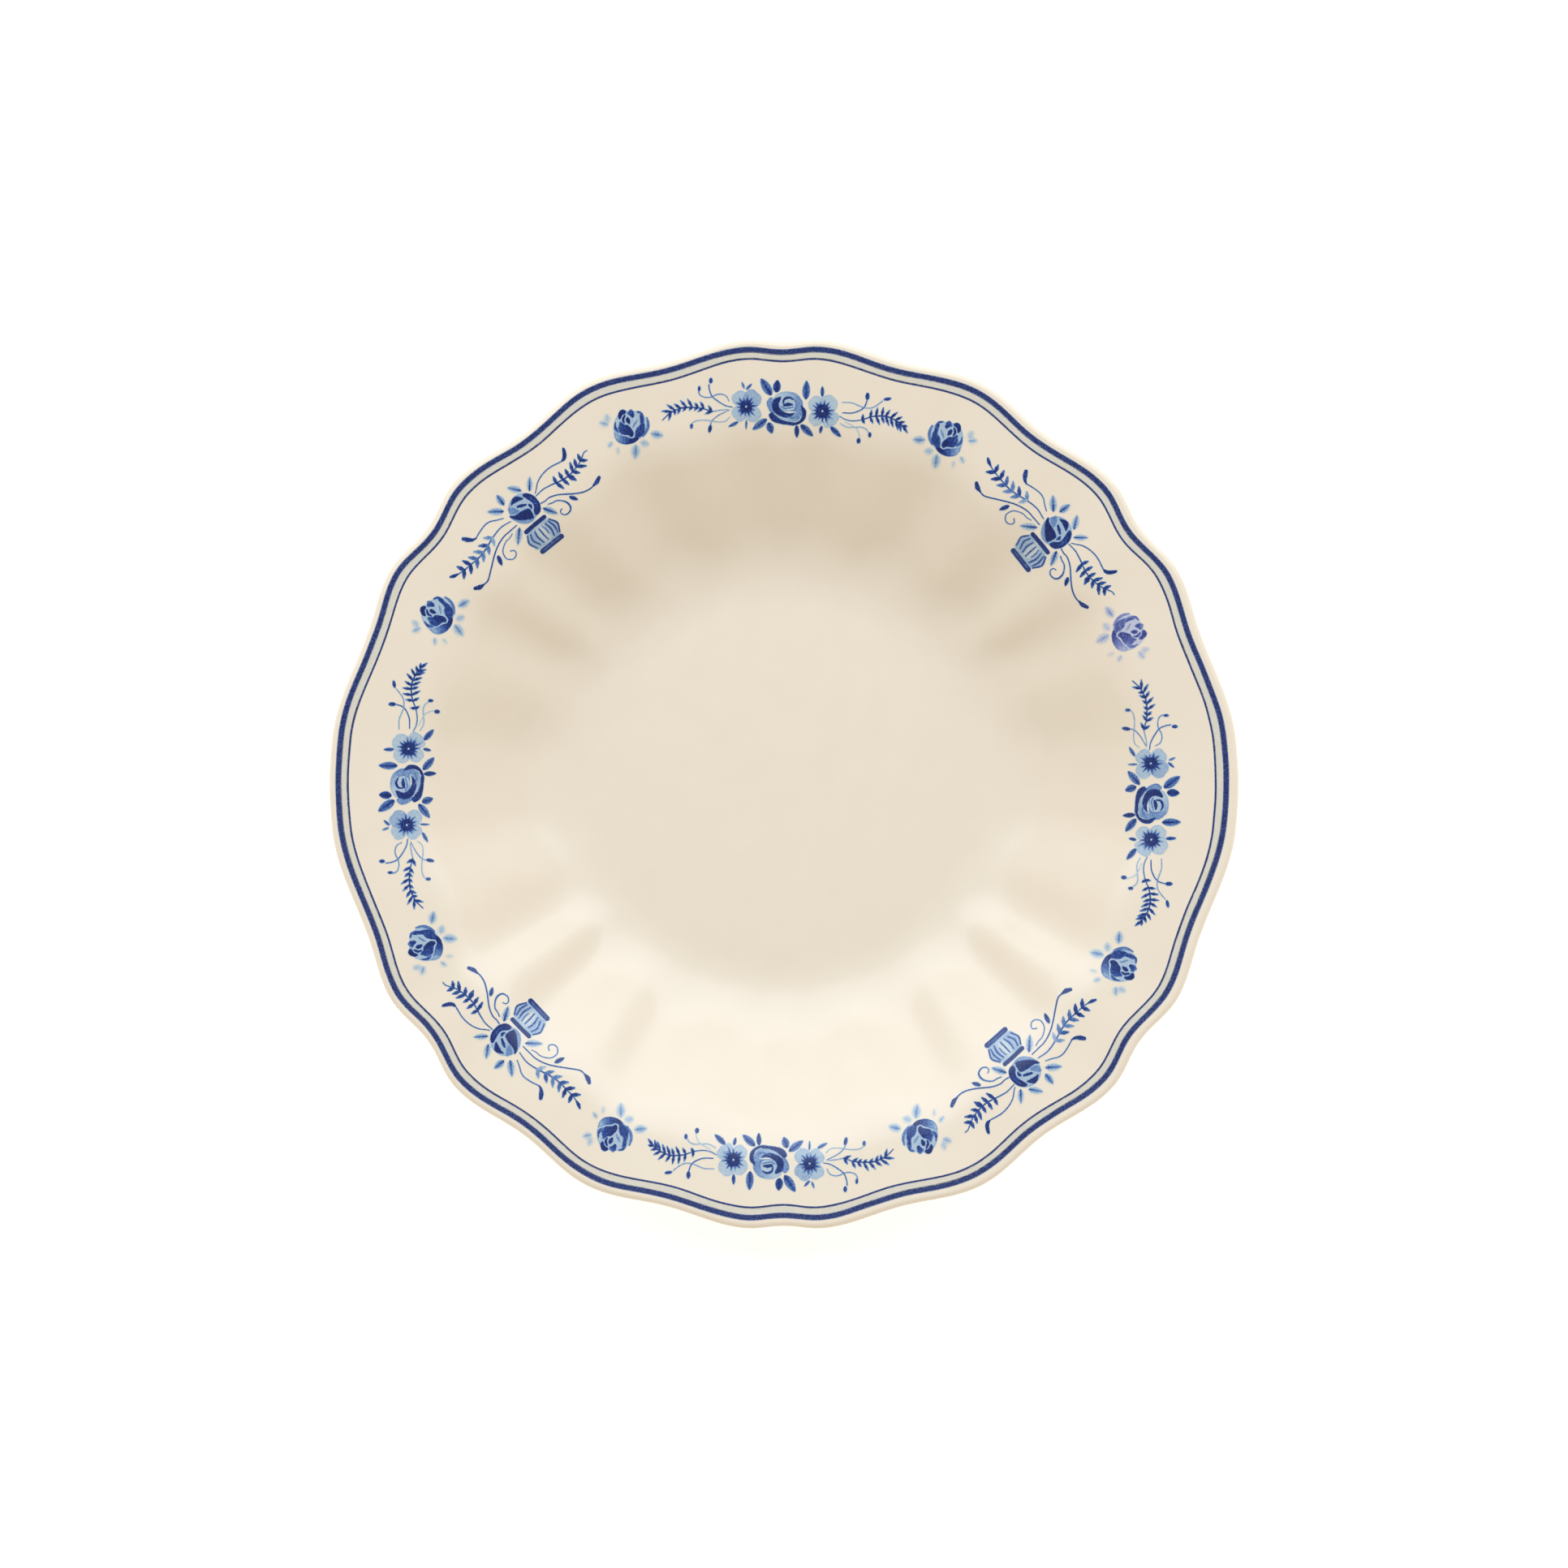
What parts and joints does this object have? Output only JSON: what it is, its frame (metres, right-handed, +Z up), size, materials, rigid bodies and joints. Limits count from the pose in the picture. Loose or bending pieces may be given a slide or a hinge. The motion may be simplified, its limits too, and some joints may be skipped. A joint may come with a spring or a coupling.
{
  "type": "rimmed deep plate",
  "caption": "Rimmed deep plate in cream glazed porcelain with a lobed edge, a fluted wall, a blue edge line and blue flower prints around the rim.",
  "frame": {"origin": "middle of the foot ring, on the surface the plate stands on", "axes": "+Z up, out of the open well; X along the plate's long width, Y across it"},
  "size_m": [0.25, 0.2444, 0.033],
  "materials": {
    "porcelain": "unglazed, fine matt ground face",
    "glaze": "cream, glossy, slightly uneven as a fired glaze is",
    "cobalt_line": "dark cobalt blue line, glossy, grainy as a printed dot screen",
    "grey_wash": "pale grey-blue wash, glossy",
    "blue_print": "cobalt print in pale, middle and dark blue washes, glossy"
  },
  "bodies": {
    "root": {"porcelain_body": "porcelain", "glaze_coat": "glaze", "glaze_underfoot": "glaze", "rim_line": "cobalt_line", "rim_wash": "grey_wash", "fine_line": "cobalt_line", "garland_transfer_1": "blue_print", "garland_transfer_2": "blue_print", "garland_transfer_3": "blue_print", "garland_transfer_4": "blue_print", "vase_transfer_1": "blue_print", "vase_transfer_2": "blue_print", "vase_transfer_3": "blue_print", "vase_transfer_4": "blue_print", "rose_transfer_1": "blue_print", "rose_transfer_2": "blue_print", "rose_transfer_3": "blue_print", "rose_transfer_4": "blue_print", "rose_transfer_5": "blue_print", "rose_transfer_6": "blue_print", "rose_transfer_7": "blue_print", "rose_transfer_8": "blue_print"}
  },
  "joints": []
}
